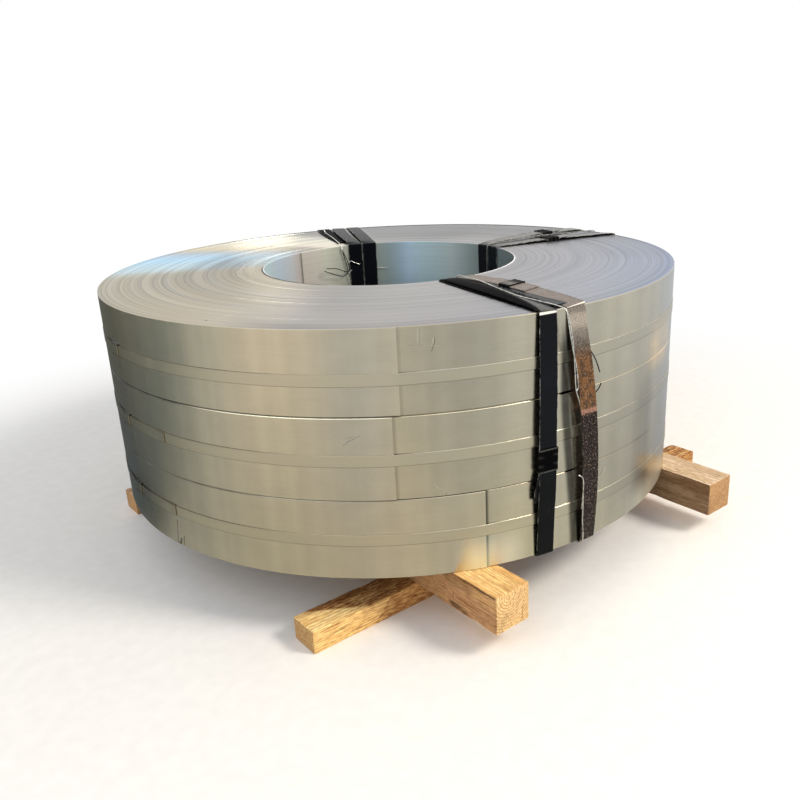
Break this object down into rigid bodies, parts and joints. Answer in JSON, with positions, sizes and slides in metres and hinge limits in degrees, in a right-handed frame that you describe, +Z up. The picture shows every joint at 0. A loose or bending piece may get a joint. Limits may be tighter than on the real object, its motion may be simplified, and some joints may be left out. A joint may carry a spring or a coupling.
{
  "type": "strapped stack of slit steel coils",
  "caption": "Narrow steel strip coils stacked eye to the sky on crossed timbers, with a belt round each coil and straps and tie wires through the eye.",
  "frame": {"origin": "on the floor, on the coils' common axis", "axes": "+Z up along the coils' axis; +Y along the two upper bearers; +X along the two lower runners"},
  "size_m": [1.1373, 1.18, 0.5187],
  "materials": {
    "coil_steel": "cold-rolled strip, lightly oiled, semi-bright",
    "belt_steel": "bright steel strapping",
    "strap_black": "black lacquered steel strapping, glossy",
    "strap_rusty": "steel strapping with brown surface rust",
    "wire_steel": "annealed tie wire",
    "timber": "rough-sawn pine"
  },
  "bodies": {
    "root": {"coil_bottom": "coil_steel", "belt_bottom": "belt_steel", "belt_seal_bottom": "belt_steel", "coil_middle": "coil_steel", "belt_middle": "belt_steel", "belt_seal_middle": "belt_steel", "coil_top": "coil_steel", "belt_top": "belt_steel", "belt_seal_top": "belt_steel", "strap_front_black": "strap_black", "strap_seal_front_black": "strap_black", "strap_front_rusty": "strap_rusty", "strap_seal_front_rusty": "strap_rusty", "strap_back_left": "strap_black", "strap_seal_back_left": "strap_black", "strap_back_right": "strap_black", "strap_seal_back_right": "strap_black", "strap_right_rear": "strap_black", "strap_seal_right_rear": "strap_black", "strap_right_front": "strap_black", "strap_seal_right_front": "strap_black", "tie_wire_front": "wire_steel", "tie_wire_back": "wire_steel", "tie_wire_right": "wire_steel", "bearer_left": "timber", "bearer_right": "timber", "runner_front": "timber", "runner_back": "timber"}
  },
  "joints": []
}
